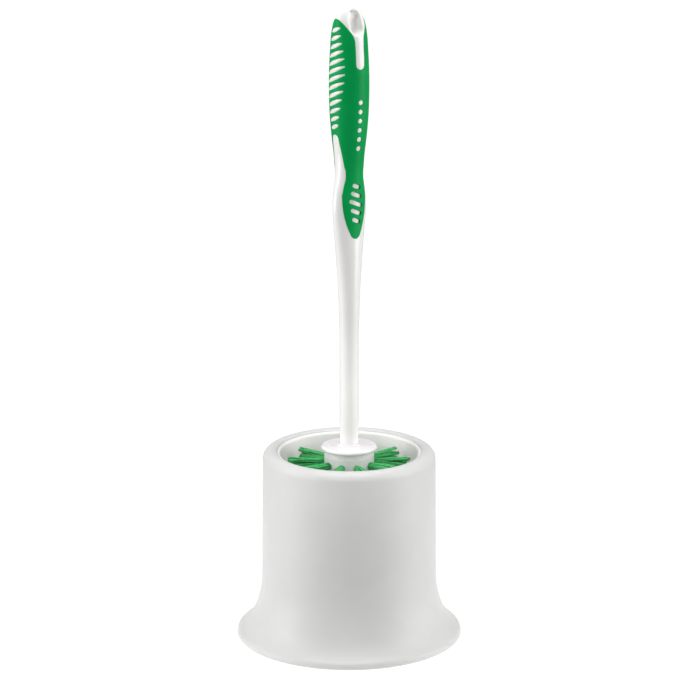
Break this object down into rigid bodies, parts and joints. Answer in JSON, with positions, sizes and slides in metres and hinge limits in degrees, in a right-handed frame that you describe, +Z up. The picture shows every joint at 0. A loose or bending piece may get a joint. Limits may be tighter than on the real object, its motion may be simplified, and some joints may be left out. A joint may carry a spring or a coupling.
{
  "type": "toilet brush holder",
  "caption": "Round toilet brush with a long two-colour handle, standing in a white bell-shaped caddy with a flared base and an inner drip cup.",
  "frame": {"origin": "on the floor at the centre of the caddy's base", "axes": "+Z up along the brush's shaft, -Y out of the front of the grip"},
  "size_m": [0.15, 0.15, 0.4215],
  "materials": {
    "caddy_white": "satin moulded polypropylene",
    "cup_white": "satin moulded polypropylene",
    "handle_white": "glossy moulded polypropylene",
    "head_white": "glossy moulded polypropylene",
    "grip_green": "soft matte overmoulded rubber",
    "tuft_green": "crimp-free nylon filament",
    "anchor_steel": "flat wire"
  },
  "bodies": {
    "caddy": {"caddy_shell": "caddy_white", "drip_cup": "cup_white"},
    "brush": {"handle": "handle_white", "grip_sleeve": "grip_green", "head_core": "head_white", "tufts_ring_1": "tuft_green", "tufts_ring_2": "tuft_green", "tufts_ring_3": "tuft_green", "tufts_ring_4": "tuft_green", "tufts_ring_5": "tuft_green", "tufts_ring_6": "tuft_green", "tufts_end_ring": "tuft_green", "tuft_centre": "tuft_green", "tuft_anchors": "anchor_steel"}
  },
  "joints": [
    {"name": "brush_lift", "type": "slide", "parent": "caddy", "child": "brush", "axis": [0, 0, 1], "range_m": [0, 0.15]}
  ]
}
